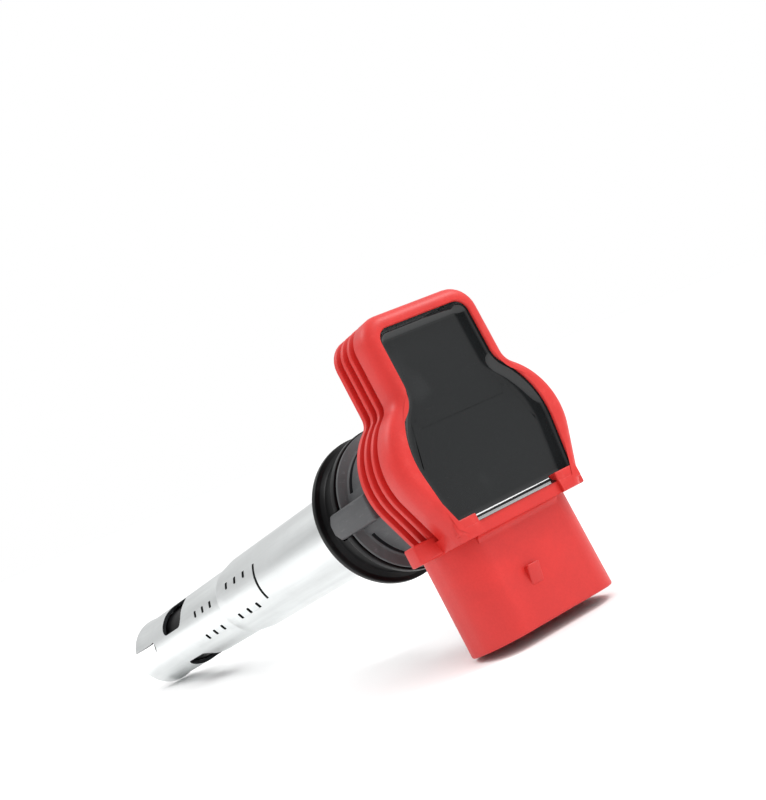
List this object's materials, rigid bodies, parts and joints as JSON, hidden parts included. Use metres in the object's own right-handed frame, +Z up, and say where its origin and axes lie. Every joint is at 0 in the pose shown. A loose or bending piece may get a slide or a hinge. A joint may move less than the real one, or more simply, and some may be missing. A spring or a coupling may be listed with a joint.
{
  "type": "ignition coil",
  "caption": "Pencil ignition coil with a potted red head, side connector, rubber well seal, slotted metal shaft and sprung plug contact.",
  "frame": {"origin": "on the plug axis, in the plane where the seal lip meets its seat", "axes": "+Z up the plug axis towards the head, +X the way the connector opens"},
  "size_m": [0.061, 0.0402, 0.1733],
  "materials": {
    "red_plastic": "satin moulded plastic",
    "resin": "glossy cast resin",
    "grey_plastic": "satin moulded plastic",
    "black_plastic": "matte moulded plastic",
    "rubber": "smooth rubber",
    "bright_metal": "satin bright metal",
    "steel": "plain steel",
    "copper": "enamelled copper",
    "tin": "tin plated",
    "ceramic": "fired ceramic",
    "magnet": "sintered magnet"
  },
  "bodies": {
    "coil": {"head_housing": "red_plastic", "potting_resin": "resin", "heat_spreader": "copper", "driver_board": "ceramic", "driver_chip": "black_plastic", "terminal_1": "tin", "terminal_2": "tin", "terminal_3": "tin", "terminal_4": "tin", "neck_collar": "grey_plastic", "seal_ring": "rubber", "shield_tube": "bright_metal", "plug_sleeve": "bright_metal", "outer_core": "steel", "primary_winding": "copper", "primary_bobbin": "black_plastic", "secondary_winding": "copper", "secondary_bobbin": "black_plastic", "core_pad_bottom": "rubber", "magnet_bottom": "magnet", "central_core": "steel", "magnet_top": "magnet", "core_pad_top": "rubber", "case_end": "black_plastic", "hv_terminal": "tin", "suppression_resistor": "ceramic", "resistor_cap": "tin", "plug_boot": "rubber", "contact_spring": "steel"},
    "contact": {"contact_cap": "tin"}
  },
  "joints": [
    {"name": "contact_press", "type": "slide", "parent": "coil", "child": "contact", "axis": [0, 0, 1], "range_m": [0, 0.004], "stiffness_N_per_m": 1200, "springref_m": -0.002, "deforming": ["contact_spring"]}
  ]
}
